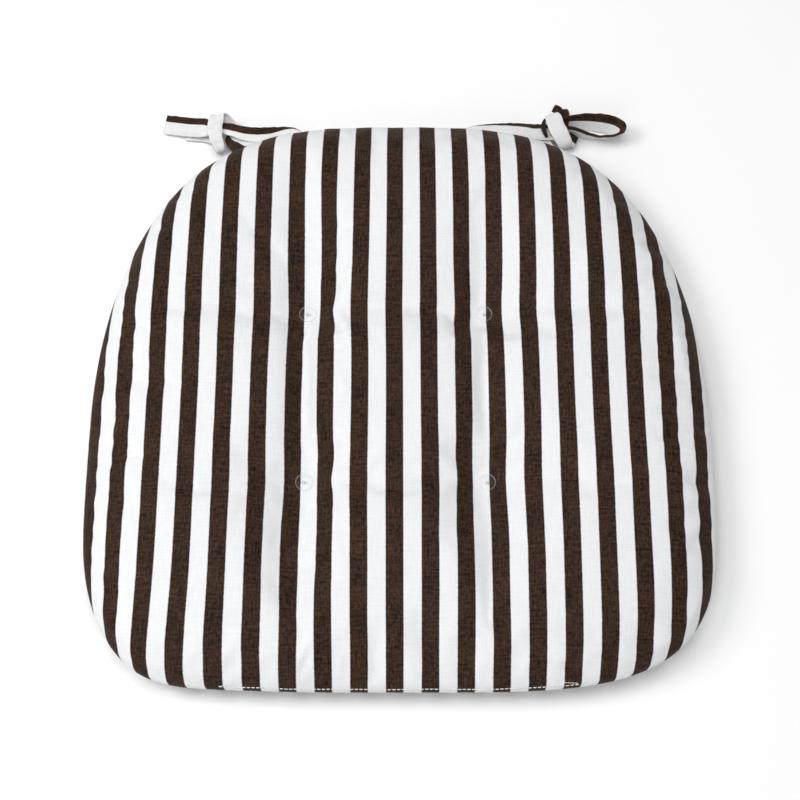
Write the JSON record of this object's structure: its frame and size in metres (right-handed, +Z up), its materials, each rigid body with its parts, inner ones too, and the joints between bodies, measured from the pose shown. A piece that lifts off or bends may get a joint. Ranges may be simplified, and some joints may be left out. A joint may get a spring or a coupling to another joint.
{
  "type": "chair seat pad",
  "caption": "Tufted, D-shaped cotton chair seat pad with brown and off-white stripes, a closing stitch along the front edge and a pair of knotted tie tapes at each rear corner.",
  "frame": {"origin": "on the floor, under the middle of the pad", "axes": "+X to the right seen from the front edge, +Y to the rear edge with the ties, +Z up through the pad"},
  "size_m": [0.4298, 0.4458, 0.044],
  "materials": {
    "cover_cloth": "plain-weave cotton, brown and off-white stripes, matte",
    "tie_cloth": "the cover's cotton folded and stitched into a tape",
    "wadding": "polyester wadding",
    "foam": "open-cell foam",
    "thread": "spun sewing thread",
    "clear_disc": "clear moulded plastic"
  },
  "bodies": {
    "pad": {"cover_top": "cover_cloth", "cover_bottom": "cover_cloth", "seam_thread": "thread", "wadding_top": "wadding", "wadding_bottom": "wadding", "foam_core": "foam", "closing_stitch": "thread", "tuft_disc_top_front_left": "clear_disc", "tuft_disc_under_front_left": "clear_disc", "tuft_thread_front_left": "thread", "tuft_disc_top_front_right": "clear_disc", "tuft_disc_under_front_right": "clear_disc", "tuft_thread_front_right": "thread", "tuft_disc_top_rear_left": "clear_disc", "tuft_disc_under_rear_left": "clear_disc", "tuft_thread_rear_left": "thread", "tuft_disc_top_rear_right": "clear_disc", "tuft_disc_under_rear_right": "clear_disc", "tuft_thread_rear_right": "thread"},
    "tie_left": {"tie_left_inner": "tie_cloth", "tie_left_outer": "tie_cloth"},
    "tie_left_end": {"tie_left_tail": "tie_cloth"},
    "tie_right": {"tie_right_inner": "tie_cloth", "tie_right_outer": "tie_cloth", "tie_right_end": "tie_cloth"},
    "tie_right_bow": {"tie_right_loop": "tie_cloth"}
  },
  "joints": [
    {"name": "tie_left_swing", "type": "hinge", "parent": "pad", "child": "tie_left", "pos_m": [-0.09815, 0.20297, 0.018], "axis": [0.9531, 0.3026, 0], "range_deg": [-10, 100]},
    {"name": "tie_left_end_lift", "type": "hinge", "parent": "tie_left", "child": "tie_left_end", "pos_m": [-0.147, 0.2173, 0.0078], "axis": [0.1, 0.995, 0], "range_deg": [-3, 80]},
    {"name": "tie_right_swing", "type": "hinge", "parent": "pad", "child": "tie_right", "pos_m": [0.08105, 0.2069, 0.018], "axis": [0.9776, -0.2104, 0], "range_deg": [-12, 100]},
    {"name": "tie_right_bow_sway", "type": "hinge", "parent": "tie_right", "child": "tie_right_bow", "pos_m": [0.1275, 0.2173, 0.0084], "axis": [0, 0, 1], "range_deg": [-2, 25]}
  ]
}
